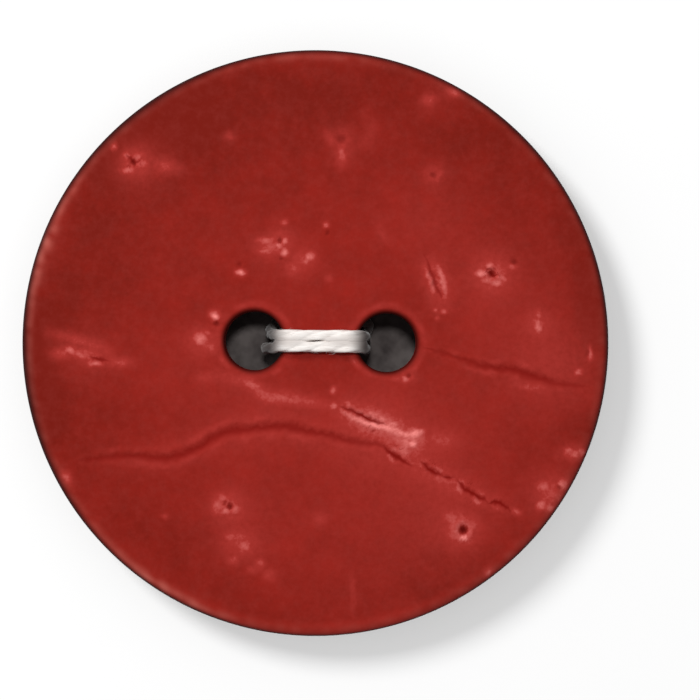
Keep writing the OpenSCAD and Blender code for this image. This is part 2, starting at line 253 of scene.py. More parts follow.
# Broad patches where the coat is rubbed brighter: x, y, radius, strength
rubs = [
    (2.8, -3.9, 1.9, 0.17), (5.5, -5.2, 2.2, 0.08), (-1.6, 4.3, 1.3, 0.08), (8.3, 3.2, 1.4, 0.12),
    (-8.2, 8.4, 1.3, 0.1), (-3.6, -8.6, 1.9, 0.09), (6.4, -8.4, 1.9, 0.1), (11.3, -1.2, 2.0, 0.14),
    (-10.9, -0.6, 1.5, 0.07), (9.6, 0.5, 4.0, 0.06), (-4.8, -1.2, 2.6, 0.05), (3.5, -8.5, 5.0, 0.06),
    (-2.2, -3.6, 1.8, 0.08), (11.0, -7.0, 1.5, 0.07), (5.5, 5.6, 2.0, 0.07), (6.0, 11.7, 1.0, 0.04),
]

# Broad clouds in the coat: x, y, radius, how much brighter
clouds = [
    (-6.0, 11.0, 2.6, -0.28), (-13.0, 0.8, 1.8, -0.25), (13.3, 1.3, 1.3, -0.35), (-1.0, 6.6, 2.2, -0.2),
    (-8.4, -1.4, 1.8, 0.22), (-10.0, -6.6, 2.4, 0.2), (-1.4, -10.4, 2.6, 0.22), (9.0, -8.4, 1.8, 0.2),
    (5.6, -11.2, 2.2, -0.22), (0.0, -3.6, 1.8, 0.15), (-8.6, 5.8, 1.8, 0.12), (12.9, -4.2, 1.3, -0.18),
]

# Uneven outlines of all the marks: how far they wander, and the shortest and longest wave
outlines = {"shift": 0.02, "waves": (0.3, 0.9)}

# How the cracks are cut
crackCut = {
    "seed": 41,
    "reach": 1.4,                           # of their marks, across
    "waves": ((0.024, 31), (0.013, 67)),    # of the half width: amount, and turn along the crack
    "endFade": 0.25,                        # length past the ends
    "lip": (1.9, 0.75),                     # place and width of the lips, in half widths
    "glow": (2.0, 1.2),                     # and of their paler colour
    "colour": (3.0, 3.9),                   # half widths between which the dark colour ends
    "away": 9.0,                            # stands for far from any crack
    "patchSeed": 43,                        # patches of the paler colour
    "patchWaves": (1.0, 2.6),
    "patchMiddle": 0.65,
    "patchMore": 0.4,
    "patchRange": (0.1, 1.3),
}

# How the other marks stand
spotCut = {
    "seed": 31,
    "pitRim": (0.25, 1.8, 0.6),     # height, place and width of a pit's low rim, by its depth and radius
    "pitFloor": 1.12,               # narrows its dark floor
    "halo": 0.2,
    "scuffHeight": 0.03,
    "streakHeight": 0.02,
    "streakEnds": 0.4,              # share of a streak's strength that is left at its ends
    "streakFade": 0.3,              # length past the ends
    "streakReach": 1.0,
}


def ragged(plan, seed):
    # The plan shifted by one fine random field in x and one in y
    shift = np.stack([waves(plan, seed + i, *outlines["waves"]) for i in range(2)], -1)
    return plan + outlines["shift"] * shift


def crackField(plan):
    # Height and colour of the cracks: a bell-shaped groove with a bell-shaped lip on each side, that narrow
    # towards both ends. Also gives the distance across the nearest crack in half widths, how much of a crack
    # is there, and how pale its lips are
    cut = crackCut
    plan = ragged(plan, cut["seed"])
    height = np.zeros(len(plan))
    across = np.full(len(plan), cut["away"])
    here = np.zeros(len(plan))
    glow = np.zeros(len(plan))
    lipPlace, lipWidth = cut["lip"]
    glowPlace, glowWidth = cut["glow"]
    for number, crack in enumerate(cracks):
        near, side, share, past = nearLine(plan, crack["route"], cut["reach"])
        middle = np.sqrt(np.sin(np.pi * share ** crack.get("lean", 1)))
        swell = crack["tip"] + (1 - crack["tip"]) * middle
        wobble = sum(amount * np.sin(share * turn + (i + 1) * number)
                     for i, (amount, turn) in enumerate(cut["waves"]))
        x = side / (swell * (crack["half"] + wobble))
        end = swell * (1 - fade(past, 0, cut["endFade"]))
        groove = np.exp(-x ** 2)
        lips = np.exp(-((np.abs(x) - lipPlace) / lipWidth) ** 2)
        height[near] += end * (crack["lip"] * lips - crack["depth"] * groove)
        patches = waves(plan[near], cut["patchSeed"], *cut["patchWaves"])
        patchy = np.clip(cut["patchMiddle"] + cut["patchMore"] * patches, *cut["patchRange"])
        plain = np.abs(side) / (swell * crack["half"])
        paler = crack.get("glow", 0) * end * patchy * np.exp(-((plain - glowPlace) / glowWidth) ** 2)
        glow[near] = np.maximum(glow[near], paler)
        strength = crack["dark"] * end * (1 - fade(np.abs(x), *cut["colour"]))
        wins = (strength > here[near]) | ((here[near] == 0) & (np.abs(x) < np.abs(across[near])))
        across[near[wins]] = x[wins]
        here[near[wins]] = strength[wins]
    return height, across, here, glow


def spotField(plan):
    # Pits are bells cut into the face with a low rim; scuffs and streaks are bells that stand a little proud
    plan = ragged(plan, spotCut["seed"])
    height = np.zeros(len(plan))
    dark = np.zeros(len(plan))
    pale = np.zeros(len(plan))
    rimHeight, rimPlace, rimWidth = spotCut["pitRim"]
    for x, y, radius, depth, shade, halo in pits:
        r = np.hypot(plan[:, 0] - x, plan[:, 1] - y) / radius
        core = np.exp(-r ** 2)
        height += depth * (rimHeight * np.exp(-((r - rimPlace) / rimWidth) ** 2) - core)
        dark = np.maximum(dark, shade * np.exp(-(r * spotCut["pitFloor"]) ** 4))
        if halo:
            pale = np.maximum(pale, spotCut["halo"] * np.exp(-(r * radius / halo) ** 2))
    for x, y, length, width, turn, strength in paleSpots:
        c, s = math.cos(math.radians(turn)), math.sin(math.radians(turn))
        dx, dy = plan[:, 0] - x, plan[:, 1] - y
        bell = np.exp(-((dx * c + dy * s) / length) ** 2 - ((dy * c - dx * s) / width) ** 2)
        height += spotCut["scuffHeight"] * strength * bell
        pale = np.maximum(pale, strength * bell)
    ends = spotCut["streakEnds"]
    for route, half, strength in streaks:
        near, side, share, past = nearLine(plan, route, spotCut["streakReach"])
        bell = np.exp(-(side / half) ** 2) * (1 - fade(past, 0, spotCut["streakFade"]))
        bell *= ends + (1 - ends) * np.sin(np.pi * share)
        height[near] += spotCut["streakHeight"] * strength * bell
        pale[near] = np.maximum(pale[near], strength * bell)
    for x, y, radius, strength in rubs:
        pale += strength * np.exp(-((plan - (x, y)) ** 2).sum(1) / radius ** 2)
    return height, dark, pale


def domeHeight(plan):
    # Height of the domed face: a sphere's cap
    return button["height"] - domeRadius + np.sqrt(domeRadius ** 2 - (plan ** 2).sum(-1))


def hollowHeight(plan):
    # Height of the back: a sphere's hollow inside the rim, and the flat rim outside it
    r2 = np.minimum((plan ** 2).sum(-1), hollowReach ** 2)
    return button["hollowDepth"] - hollowRadius + np.sqrt(hollowRadius ** 2 - r2)


# The face's own form
faceForm = {
    "waves": [(11, 0.012, 3.0, 9.0), (12, 0.0015, 0.8, 1.8)],    # seed, height, shortest and longest wave
    "sunk": 0.03,           # below the dome, about as far as raised marks stand up
    "proud": 0.04,          # most that a mark stands up
    "ends": (0.8, 0.02),    # where all this ends, before and past the start of the edge's rounding
}


def faceHeight(plan):
    # The dome with its slow unevenness and its natural marks
    flat = plan.reshape(-1, 2)
    uneven = sum(amount * waves(flat, seed, shortest, longest)
                 for seed, amount, shortest, longest in faceForm["waves"])
    marks = np.minimum(crackField(flat)[0] + spotField(flat)[0], faceForm["proud"])
    before, past = faceForm["ends"]
    calm = 1 - fade(np.hypot(flat[:, 0], flat[:, 1]), faceReach - before, faceReach + past)
    top = domeHeight(flat) + (uneven - faceForm["sunk"] + marks) * calm
    return np.minimum(top, button["height"]).reshape(plan.shape[:-1])


def fromPair(x, y):
    # From the frame of the pair of holes to the button's
    c, s = math.cos(math.radians(button["pairTurn"])), math.sin(math.radians(button["pairTurn"]))
    return np.stack([button["pairShift"] + c * x - s * y, button["pairRise"] + s * x + c * y], -1)


def quads(rows, columns, start, closed=False):
    # Faces of a grid of points held row by row, closed round the columns or not
    i = np.arange(rows - 1)[:, None] * columns
    j = np.arange(columns if closed else columns - 1)[None, :]
    k = (j + 1) % columns
    return (start + np.stack([i + j, i + k, i + columns + k, i + columns + j], -1)).reshape(-1, 4)


class Shell:
    # Collects grids of points into one closed mesh
    def __init__(self):
        self.points = []
        self.faces = []
        self.count = 0

    def add(self, gridPoints, closed=False, flip=False):
        rows, columns = gridPoints.shape[:2]
        faces = quads(rows, columns, self.count, closed)
        self.points.append(gridPoints.reshape(-1, 3))
        self.faces.append(faces[:, ::-1] if flip else faces)
        self.count += rows * columns

    def welded(self, step=1e-4):
        # Points that fall on the same step of space become one
        points = np.vstack(self.points)
        key = np.round(points / step).astype(np.int64)
        _, first, back = np.unique(key, axis=0, return_index=True, return_inverse=True)
        faces = back.reshape(-1)[np.vstack(self.faces)]
        return points[first], faces


def withHeight(plan, height):
    # Points over a plan
    return np.concatenate([plan, height[..., None]], -1)


def buttonSurface():
    # Plan: two half circles and two lines make a stadium round the holes, and straight lines run from it to
    # the outer circle. Level lines cross the bridge between the holes
    hx, lip = button["holeApart"] / 2, button["holeRadius"] + button["lipRound"]
    line = np.linspace(hx, -hx, grid["line"], endpoint=False)
    turn = np.linspace(0, np.pi, grid["arc"], endpoint=False) + np.pi / 2
    stadiumX = np.concatenate([line, -hx + lip * np.cos(turn), -line, hx - lip * np.cos(turn)])
    stadiumY = np.concatenate([lip + 0 * line, lip * np.sin(turn), -lip + 0 * line, -lip * np.sin(turn)])
    inner = fromPair(stadiumX, stadiumY)

    # Directions on the outer circle, which set the two straight lines' shares at the top and the bottom
    angle = np.pi / 3 + np.linspace(0, 2 * np.pi, len(inner), endpoint=False)
    circle = np.stack([np.cos(angle), np.sin(angle)], -1)
    tilt = np.linspace(-np.pi / 2, np.pi / 2, grid["bridge"] + 1)
    reach = hx - lip * np.cos(tilt)
    share = np.linspace(-1, 1, grid["line"] + 1)
    bridge = fromPair(share[None, :] * reach[:, None], lip * np.sin(tilt)[:, None] + 0 * share[None, :])

    shell = Shell()
    out = np.linspace(0, 1, grid["face"] + 1)[:, None, None]
    face = inner[None] + out * (faceReach * circle - inner)[None]
    shell.add(withHeight(face, faceHeight(face)), closed=True, flip=True)
    shell.add(withHeight(bridge, faceHeight(bridge)))

    # Outside: the face's rounding, the side, the rim's rounding and the flat rim
    radius = button["radius"]
    edgeTop = faceHeight(faceReach * circle)
    a = np.linspace(0, np.pi / 2, grid["edge"] + 1)
    edgeR = faceReach + button["faceRound"] * np.sin(a)
    edgeDrop = button["faceRound"] * (1 - np.cos(a))
    sideTop = (edgeTop - button["faceRound"]).mean()
    down = np.linspace(0, 1, grid["side"] + 1)[1:]
    b = np.linspace(0, np.pi / 2, grid["rim"] + 1)[1:]
    lowR = np.concatenate([
        radius + 0 * down, radius - button["rimRound"] * (1 - np.cos(b)), [hollowReach]])
    lowZ = np.concatenate([
        sideTop + (button["rimRound"] - sideTop) * down, button["rimRound"] * (1 - np.sin(b)), [0]])
    level = np.linspace(0, 1, grid["edge"] + 1)[:, None]
    upperZ = (edgeTop[None] - edgeDrop[:, None]) * (1 - level) + (edgeTop.mean() - edgeDrop[:, None]) * level
    profileR = np.concatenate([edgeR, lowR])
    profileZ = np.concatenate([upperZ, lowZ[:, None] + 0 * angle[None]])
    shell.add(withHeight(profileR[:, None, None] * circle[None], profileZ), closed=True, flip=True)

    # Back: the hollow, from the rim in to the stadium, and the back of the bridge
    inward = np.linspace(0, 1, grid["back"] + 1)[:, None, None]
    back = hollowReach * circle[None] + inward * (inner - hollowReach * circle)[None]
    backZ = hollowHeight(back)
    backZ[0] = 0
    shell.add(withHeight(back, backZ), closed=True, flip=True)
    shell.add(withHeight(bridge, hollowHeight(bridge)), flip=True)

    # Holes: each ring of plan points turns over the lip, runs down the bore and out over the back's lip
    arc = grid["line"] + np.arange(grid["arc"] + 1)
    rings = [
        np.vstack([inner[arc], bridge[1:-1, 0]]),
        np.vstack([inner[(arc + grid["line"] + grid["arc"]) % len(inner)], bridge[-2:0:-1, -1]]),
    ]
    q = np.linspace(0, np.pi / 2, grid["lip"] + 1)
    bore = np.linspace(0, 1, grid["bore"] + 1)[1:-1]
    for ring, hole in zip(rings, (-hx, hx)):
        middle = fromPair(hole, 0.0)
        spoke = (ring - middle) / lip
        top, bottom = faceHeight(ring), hollowHeight(ring)
        lipR = np.concatenate([lip - button["lipRound"] * np.sin(q), button["holeRadius"] + 0 * bore,
                               lip - button["lipRound"] * np.sin(q[::-1])])
        turnOver = button["lipRound"] * (1 - np.cos(q))
        wallTop, wallLow = top - button["lipRound"], bottom + button["lipRound"]
        z = np.vstack([top[None] - turnOver[:, None],
                       wallTop[None] + bore[:, None] * (wallLow - wallTop)[None],
                       bottom[None] + turnOver[::-1, None]])
        shell.add(withHeight(middle + lipR[:, None, None] * spoke[None], z), closed=True)
    return shell.welded()


def newMesh(name, points, faces):
    # Faces come as an array of equal rows or as a list of rows of any length
    mesh = bpy.data.meshes.new(name)
    mesh.vertices.add(len(points))
    mesh.vertices.foreach_set("co", (np.asarray(points) * mm).astype(np.float32).ravel())
    sizes = np.array([len(face) for face in faces])
    corners = np.concatenate(list(faces))
    mesh.loops.add(len(corners))
    mesh.loops.foreach_set("vertex_index", corners.astype(np.int32))
    mesh.polygons.add(len(sizes))
    mesh.polygons.foreach_set("loop_start", np.concatenate([[0], np.cumsum(sizes)[:-1]]).astype(np.int32))
    mesh.polygons.foreach_set("loop_total", sizes.astype(np.int32))
    mesh.update(calc_edges=True)
    mesh.validate()
    mesh.polygons.foreach_set("use_smooth", np.ones(len(mesh.polygons), bool))
    piece = bpy.data.objects.new(name, mesh)
    bpy.context.scene.collection.objects.link(piece)
    return piece


def setMask(piece, name, values):
    layer = piece.data.attributes.new(name, "FLOAT", "POINT")
    layer.data.foreach_set("value", values.astype(np.float32))


def openEdges(piece):
    # Edges that do not join exactly two faces
    loops = np.zeros(len(piece.data.loops), np.int32)
    piece.data.loops.foreach_get("edge_index", loops)
    return int((np.bincount(loops, minlength=len(piece.data.edges)) != 2).sum())


# Node helpers

def addNode(tree, kind, inputs=None, **settings):
    node = tree.nodes.new(kind)
    for name, value in settings.items():
        setattr(node, name, value)
    for name, value in (inputs or {}).items():
        socket = node.inputs[name]
        if isinstance(value, bpy.types.NodeSocket):
            tree.links.new(value, socket)
        else:
            socket.default_value = value
    return node


def calc(tree, operation, a, b=0.0, clamp=False):
    # One step of arithmetic on sockets or numbers
    return addNode(tree, "ShaderNodeMath", {0: a, 1: b}, operation=operation, use_clamp=clamp).outputs[0]


def swing(tree, base, field, amount, clamp=False):
    # A base value, more or less by how far a noise field is from its middle
    return calc(tree, "ADD", base, calc(tree, "MULTIPLY", calc(tree, "SUBTRACT", field, 0.5), amount), clamp)


def mixColour(tree, share, a, b):
    # Each colour is a socket or screen values
    a, b = [c if isinstance(c, bpy.types.NodeSocket) else linear(*c) for c in (a, b)]
    return addNode(tree, "ShaderNodeMix", {0: share, 6: a, 7: b}, data_type="RGBA").outputs[2]


def spread(tree, value, low, high, toLow=0.0, toHigh=1.0):
    # A straight ramp between two values
    node = addNode(tree, "ShaderNodeMapRange", {0: value, 1: low, 2: high, 3: toLow, 4: toHigh})
    return node.outputs[0]


def unevenGroup():
    # The effect that all the materials share, for clouds, mottle, specks and fibres: a share between 0 and 1
    # that wanders from place to place, with so many grains to each unit of the place
    group = bpy.data.node_groups.new("uneven_share", "ShaderNodeTree")
    group.interface.new_socket("Place", in_out="INPUT", socket_type="NodeSocketVector")
    for name in ("Grains", "Detail", "Roughness"):
        group.interface.new_socket(name, in_out="INPUT", socket_type="NodeSocketFloat")
    group.interface.new_socket("Share", in_out="OUTPUT", socket_type="NodeSocketFloat")
    given = group.nodes.new("NodeGroupInput").outputs
    texture = addNode(group, "ShaderNodeTexNoise", {
        "Vector": given["Place"], "Scale": given["Grains"],
        "Detail": given["Detail"], "Roughness": given["Roughness"]})
    group.links.new(texture.outputs["Fac"], group.nodes.new("NodeGroupOutput").inputs["Share"])
    return group


unevenShare = unevenGroup()


def noise(tree, place, grains, detail, rough):
    # The shared effect, placed in a material with its own values
    values = {"Place": place, "Grains": grains, "Detail": detail, "Roughness": rough}
    return addNode(tree, "ShaderNodeGroup", values, node_tree=unevenShare).outputs["Share"]


def objectPlace(tree):
    return addNode(tree, "ShaderNodeTexCoord").outputs["Object"]


def mask(tree, name):
    # A value that the mesh carries at its points
    return addNode(tree, "ShaderNodeAttribute", attribute_name=name).outputs["Fac"]


def linear(red, green, blue):
    # A colour given as screen values from 0 to 255, undone from the screen's standard curve
    c = np.array([red, green, blue]) / 255
    c = np.where(c <= 0.04045, c / 12.92, ((c + 0.055) / 1.055) ** 2.4)
    return (*c.tolist(), 1.0)


def newMaterial(name):
    material = bpy.data.materials.new(name)
    material.use_nodes = True
    tree = material.node_tree
    tree.nodes.clear()
    shader = tree.nodes.new("ShaderNodeBsdfPrincipled")
    output = tree.nodes.new("ShaderNodeOutputMaterial")
    tree.links.new(shader.outputs[0], output.inputs[0])
    return material, tree, shader


# Red coat over dark shell, in screen colours. Noises are grains per metre, detail and the detail's roughness.
# Ranges are the values between which something sets in, and its shares there where they aren't 0 and 1
coatLook = {
    "deep": (118, 23, 13),
    "bright": (152, 34, 26),
    "cloud": (220.0, 3.0, 0.55),
    "mottle": (900.0, 4.0, 0.55),
    "speck": (4500.0, 3.0, 0.65),
    "toneCloud": 0.7,               # how much each noise moves the coat between its two reds
    "toneMottle": 0.65,
    "toneSpeck": 0.45,
    "haze": (164, 66, 60),
    "hazeNoise": (2400.0, 4.0, 0.65),
    "hazeRange": (0.42, 0.72, 0.0, 0.12),
    "rubbed": (168, 51, 45),
    "rubbedRange": (0.0, 0.3),
    "pale": (238, 133, 127),
    "paleRange": (0.25, 1.0),
    "paleSpeck": 1.2,               # how uneven both are
    "crack": (122, 12, 6),
    "crackSpeck": 1.0,
    "pit": (88, 3, 1),
    "paleRim": (197, 101, 90),
    # dark of the thin coat on the edge, and on the hole lips also painted shade
    "edge": (32, 6, 5),
    "shell": (26, 11, 8),
    "shellLight": (58, 31, 20),
    "fibre": (1400.0, 4.0, 0.6),
    "fibreStretch": (0.25, 1.0, 1.0),
    "shellRange": (0.35, 0.7),
    "ground": (96, 60, 40),         # the flat rim, ground down to paler shell
    "groundRange": (0.3, 0.7, 0.35, 0.85),
    "bareMottle": 0.5,
    "bareRange": (0.42, 0.58),
    "roughness": 0.68,
    "roughMottle": 0.25,
    "roughPale": 0.12,
    "roughBare": 0.18,
    "specular": 0.05,
    "grainSpeck": 0.5,
    "grainMottle": 0.6,
    "grainCrack": 0.8,
    "grainStrength": 0.5,
    "grainDepth": 0.02,             # in millimetres
}


def coatMaterial():
    look = coatLook
    material, tree, shader = newMaterial("red_coat")
    place = objectPlace(tree)
    cloud, mottle, speck, haze = [
        noise(tree, place, *look[name]) for name in ("cloud", "mottle", "speck", "hazeNoise")]

    # Coat: clouded between two reds, under a faint haze
    tone = swing(tree, mask(tree, "tone"), cloud, look["toneCloud"])
    tone = swing(tree, tone, mottle, look["toneMottle"])
    tone = swing(tree, tone, speck, look["toneSpeck"], clamp=True)
    colour = mixColour(tree, tone, look["deep"], look["bright"])
    colour = mixColour(tree, spread(tree, haze, *look["hazeRange"]), colour, look["haze"])

    # Marks: rubbed and pale places, some of them painted highlights, cracks as bells across, then pits, the
    # paler band inside the edge, and the dark of the edges: thin coat, and on the hole lips also painted
    # shade
    # the pale mask holds wear and also painted highlights on the lit lower walls of a pit and a slit
    wornAndLit = calc(tree, "MULTIPLY", mask(tree, "pale"), swing(tree, 1.0, speck, look["paleSpeck"]), clamp=True)
    for name in ("rubbed", "pale"):
        colour = mixColour(tree, spread(tree, wornAndLit, *look[name + "Range"]), colour, look[name])
    across = swing(tree, mask(tree, "across"), speck, look["crackSpeck"])
    bell = calc(tree, "EXPONENT", calc(tree, "MULTIPLY", calc(tree, "MULTIPLY", across, across), -1.0))
    core = calc(tree, "MULTIPLY", bell, mask(tree, "crackHere"), clamp=True)
    colour = mixColour(tree, core, colour, look["crack"])
    for name in ("pit", "paleRim", "edge"):
        colour = mixColour(tree, mask(tree, name), colour, look[name])

    # Bare shell, with fibres along x
    stretch = addNode(tree, "ShaderNodeMapping", {"Vector": place, "Scale": look["fibreStretch"]})
    fibre = noise(tree, stretch.outputs[0], *look["fibre"])
    shell = mixColour(tree, spread(tree, fibre, *look["shellRange"]), look["shell"], look["shellLight"])
    ground = calc(tree, "MULTIPLY", mask(tree, "ground"), spread(tree, fibre, *look["groundRange"]))
    shell = mixColour(tree, ground, shell, look["ground"])
    bare = spread(tree, swing(tree, mask(tree, "bare"), mottle, look["bareMottle"]), *look["bareRange"])
    colour = mixColour(tree, bare, colour, shell)

    # Roughness and grain
    rough = swing(tree, look["roughness"], mottle, look["roughMottle"])
    rough = calc(tree, "ADD", rough, calc(tree, "MULTIPLY", wornAndLit, look["roughPale"]))
    rough = calc(tree, "ADD", rough, calc(tree, "MULTIPLY", bare, look["roughBare"]), clamp=True)
    grain = calc(tree, "ADD", calc(tree, "MULTIPLY", speck, look["grainSpeck"]),
                 calc(tree, "MULTIPLY", mottle, look["grainMottle"]))
    grain = calc(tree, "SUBTRACT", grain, calc(tree, "MULTIPLY", core, look["grainCrack"]))
    grain = calc(tree, "ADD", grain, calc(tree, "MULTIPLY", bare, fibre))
    bump = addNode(tree, "ShaderNodeBump", {
        "Height": grain, "Strength": look["grainStrength"], "Distance": look["grainDepth"] * mm})
    shader.inputs["Specular IOR Level"].default_value = look["specular"]
    tree.links.new(colour, shader.inputs["Base Color"])
    tree.links.new(rough, shader.inputs["Roughness"])
    tree.links.new(bump.outputs[0], shader.inputs["Normal"])
    return material


# Places on the edge: direction and half width in degrees, how pale its band is, how much further the dark of
# the shell shows through, how much brighter the coat is (the rise at 282 degrees is a painted highlight of
# the rounded edge), and how far in from the edge
edgeTonesAndLight = [
    (10, 14, -0.02, 0.05, -0.42, 2.2), (48, 16, 0.0, 0.25, -0.08, 2.2), (90, 11, 0.1, 0.15, 0.35, 2.2),
    (126, 17, 0.02, 0.85, -0.14, 2.2), (161, 15, 0.46, 0.4, 0.36, 2.4), (187, 14, 0.1, 1.0, -0.4, 2.2),
    (210, 10, 0.03, 0.5, 0.3, 2.2), (236, 15, 0.31, 0.0, 0.36, 2.2), (282, 42, 0.02, -0.45, 0.55, 0.9),
    (285, 35, 0.0, 0.0, -0.1, 2.6), (318, 15, 0.01, -0.1, -0.25, 2.2), (340, 12, 0.02, -0.2, -0.1, 2.2),
]

# Where the coat is worn, thin or missing, and where shade and highlights are painted on the hole lips and the
# edge: depths below the face and insets from the edge, in millimetres
coatWearAndLight = {
    "marksEnd": (0.3, 0.6),             # depths between which the face's marks fade out
    "glowOver": 0.5,                    # share of other pale marks that a crack's paler lips add to
    "pitClears": 1.4,                   # how far a pit's dark clears the pale round it
    "rimPaleness": 0.065,                      # least paleness of the band just inside the edge
    "paleRimBand": (0.3, 0.21),            # its inset and width
    "paleRimBroad": (0.4, 0.8),            # paleness past the first value widens it by the second
    "toneInset": 0.4,                   # where an edge place has its full tone and painted highlight
    "patchSeed": 21,
    "patches": (0.35, 0.5, 1.6),        # strength, and shortest and longest wave
    "lipBand": (0.15, 0.38, 0.16),      # strength, place and width of the paler ring round each hole, worn and partly a painted highlight of its lip
    "thinEdge": ((0, 0.05, 0.1, 0.15, 0.2, 0.3), (0.95, 0.9, 0.72, 0.46, 0.26, 0)),     # insets, shares
    # the dark ring on the hole lips: thin coat and also painted shade
    "thinLipAndShade": ((0, 0.08, 0.16, 0.26), (0.85, 0.62, 0.28, 0)),
    "thinEnd": (0.25, 0.5, 0.8),        # depths between which it fades in the holes, and by how much
    "lipRoom": 0.02,                    # a hole's points reach this far past its lip
    "tone": 0.6,                        # share of the brighter red at the middle
    "deepens": (6.0, 1.5, 14.0),        # radius where it starts, how much sooner at the upper left, its end
    "deeper": (0.42, 0.2),              # by how much, and how much more at the upper left
    "bareSide": (0.42, 0.56),           # depths between which the coat ends
    "bareHole": (1.3, 1.8),
    "bareBack": (0.7, 0.9),
    "sideWidth": 1.0,                   # bareSide sets in over this width inside the dome's edge
    "groundEdge": (0.1, 0.05),          # how far the ground rim fades inside and outside the hollow's edge
    "groundRise": (0.02, 0.3),
}


def makeButton():
    wornAndLit = coatWearAndLight
    points, faces = buttonSurface()
    piece = newMesh("button_shell", points, faces)
    plan = points[:, :2]
    r = np.hypot(plan[:, 0], plan[:, 1])
    rise = points[:, 2]

    # Depth below the dome, or below its edge for what lies outside it
    top = domeHeight(np.where(r[:, None] < faceReach, plan, plan / np.maximum(r, 1e-6)[:, None] * faceReach))
    depth = top - rise
    onFace = 1 - fade(depth, *wornAndLit["marksEnd"])
    _, across, here, glow = crackField(plan)
    _, shade, pale = spotField(plan)
    pale = np.maximum(pale, pale * wornAndLit["glowOver"] + glow) * (1 - np.minimum(wornAndLit["pitClears"] * shade, 1))

    # Paler band just inside the edge, by direction, and a paler ring round each hole, worn and partly a
    # painted
    # highlight of its lip: bells across
    around = np.degrees(np.arctan2(plan[:, 1], plan[:, 0])) % 360
    rimPaleness, reach, edgeToneAndHighlight = wornAndLit["rimPaleness"], 1.0, 0.0
    for heading, half, more, further, brighter, inTo in edgeTonesAndLight:
        bell = np.exp(-(((around - heading + 180) % 360 - 180) / half) ** 2)
        rimPaleness, reach = rimPaleness + more * bell, reach + further * bell
        # brighter or darker by direction; the rise at 282 degrees paints a highlight on the rounded edge
        edgeToneAndHighlight = edgeToneAndHighlight + brighter * bell * fade(r, button["radius"] - inTo, button["radius"] - wornAndLit["toneInset"])
    inset = button["radius"] - r
    strength, shortest, longest = wornAndLit["patches"]
    patchy = np.clip(1 + strength * waves(plan, wornAndLit["patchSeed"], shortest, longest), 0, 2)
    middle, width = wornAndLit["paleRimBand"]
    over, wider = wornAndLit["paleRimBroad"]
    broad = width + wider * np.maximum(rimPaleness - over, 0)
    paleRim = rimPaleness * patchy * np.exp(-((inset - middle) / broad) ** 2)
    holeR = np.minimum(*[np.linalg.norm(plan - fromPair(x, 0.0), axis=1)
                         for x in (-button["holeApart"] / 2, button["holeApart"] / 2)])
    outside = holeR - button["holeRadius"]
    inHole = outside < button["lipRound"] + wornAndLit["lipRoom"]
    strength, middle, width = wornAndLit["lipBand"]
    lipRing = strength * patchy * np.exp(-((outside - middle) / width) ** 2)

    # Thin coat on the turn of the edge and of the lips, where the dark shell shows through; on the lips this
    # dark ring is also painted shade of their rounded turn
    thinAndShade = np.interp(inset / reach, *wornAndLit["thinEdge"])
    thinAndShade = np.maximum(thinAndShade, np.interp(outside, *wornAndLit["thinLipAndShade"]))
    start, end, lost = wornAndLit["thinEnd"]
    thinAndShade = np.where(inHole, thinAndShade * (1 - lost * fade(depth, start, end)), thinAndShade)

    # Tone of the coat: deeper towards the edge, most of all at the upper left, with broad clouds, and the
    # edge's own tones with a painted highlight near the bottom edge
    upperLeft = (plan[:, 1] - plan[:, 0]) / np.maximum(r, 1) / math.sqrt(2)
    start, sooner, end = wornAndLit["deepens"]
    deeper, more = wornAndLit["deeper"]
    tone = wornAndLit["tone"] - fade(r, start - sooner * upperLeft, end) * (deeper + more * upperLeft) + edgeToneAndHighlight
    for x, y, radius, amount in clouds:
        tone += amount * np.exp(-((plan - (x, y)) ** 2).sum(1) / radius ** 2)

    # Bare shell: the side below the coat's edge, deep in the holes and all of the back, with its ground rim
    bare = fade(depth, *wornAndLit["bareSide"]) * fade(r, faceReach - wornAndLit["sideWidth"], faceReach)
    low = np.where(inHole, fade(depth, *wornAndLit["bareHole"]), fade(depth, *wornAndLit["bareBack"]))
    within, beyond = wornAndLit["groundEdge"]
    ground = fade(r, hollowReach - within, hollowReach + beyond) * (1 - fade(rise, *wornAndLit["groundRise"]))

    masks = {
        "tone": tone,
        "pale": np.clip(np.maximum(pale, lipRing), 0, 1) * onFace,
        "across": across,
        "crackHere": here * onFace,
        "pit": shade * onFace,
        "paleRim": paleRim * onFace,
        "edge": thinAndShade,
        "bare": np.maximum(bare, low),
        "ground": ground,
    }
    for name, values in masks.items():
        setMask(piece, name, values)
    piece.data.materials.append(coatMaterial())
    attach(piece, "root")
    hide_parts("button")
    print("button:", len(points), "points,", 2 * len(faces), "triangles, open edges", openEdges(piece))
    return piece


